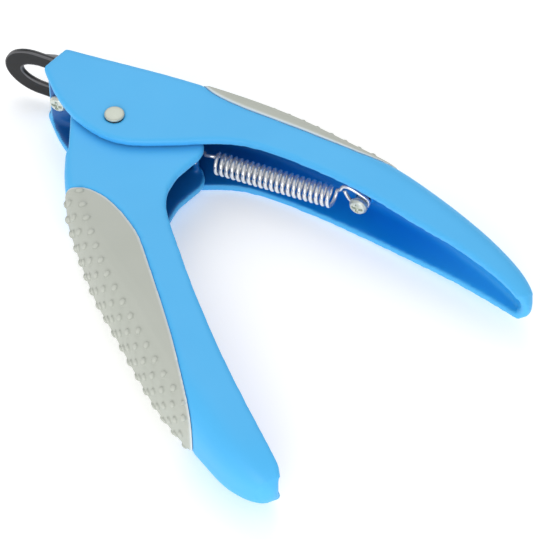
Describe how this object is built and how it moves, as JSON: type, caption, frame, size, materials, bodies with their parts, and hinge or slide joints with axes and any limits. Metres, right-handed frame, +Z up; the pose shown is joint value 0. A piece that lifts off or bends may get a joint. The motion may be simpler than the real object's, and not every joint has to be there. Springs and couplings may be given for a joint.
{
  "type": "pet nail trimmer",
  "caption": "Guillotine pet nail trimmer: two moulded handles on a rivet, a fixed nail ring, a sliding blade and a return spring.",
  "frame": {"origin": "on the pivot axis, in the plane of the face the trimmer lies on", "axes": "+Z up through the handles' thickness, -X the way the blade travels towards the nail ring, +Y towards the spine of the upper handle"},
  "size_m": [0.1432, 0.098, 0.0187],
  "materials": {
    "handle_plastic": "moulded light blue plastic, satin gloss",
    "grip_pad": "soft light grey overmoulded pad, matt",
    "rivet_steel": "plated steel",
    "ring_steel": "black oxide with a slight sheen",
    "blade_steel": "ground stainless steel",
    "screw_steel": "nickel-plated steel",
    "spring_wire": "bright spring wire"
  },
  "bodies": {
    "upper": {"upper_handle": "handle_plastic", "upper_grip": "grip_pad", "nail_ring": "ring_steel", "ring_screw": "screw_steel", "pivot_rivet": "rivet_steel", "rivet_washer": "rivet_steel", "spring_screw": "screw_steel"},
    "lower": {"lower_handle": "handle_plastic", "lower_grip": "grip_pad"},
    "cutter": {"blade": "blade_steel"},
    "spring": {"spring_coil": "spring_wire", "spring_post_hook": "spring_wire"},
    "spring_end": {"spring_bar_hook": "spring_wire"}
  },
  "joints": [
    {"name": "squeeze", "type": "hinge", "parent": "upper", "child": "lower", "pos_m": [0, 0, 0.009], "axis": [0, 0, 1], "range_deg": [0, 36], "stiffness_Nm_per_rad": 0.25, "springref_deg": -34.38},
    {"name": "blade_slide", "type": "slide", "parent": "upper", "child": "cutter", "axis": [-1, 0, 0], "range_m": [0, 0.0085]},
    {"name": "spring_swing", "type": "hinge", "parent": "upper", "child": "spring", "pos_m": [0.0597, 0.00705, 0.009], "axis": [0, 0, 1], "range_deg": [-13.5, 0]},
    {"name": "spring_stretch", "type": "slide", "parent": "spring", "child": "spring_end", "axis": [-0.9981, -0.0613, 0], "range_m": [0, 0.0062], "deforming": ["spring_coil", "spring_bar_hook", "spring_post_hook"]}
  ],
  "couplings": [
    {"joint": "blade_slide", "follows": "squeeze", "m_per_rad": 0.01328},
    {"joint": "spring_swing", "follows": "squeeze", "ratio": -0.3675},
    {"joint": "spring_stretch", "follows": "squeeze", "m_per_rad": 0.0096}
  ]
}
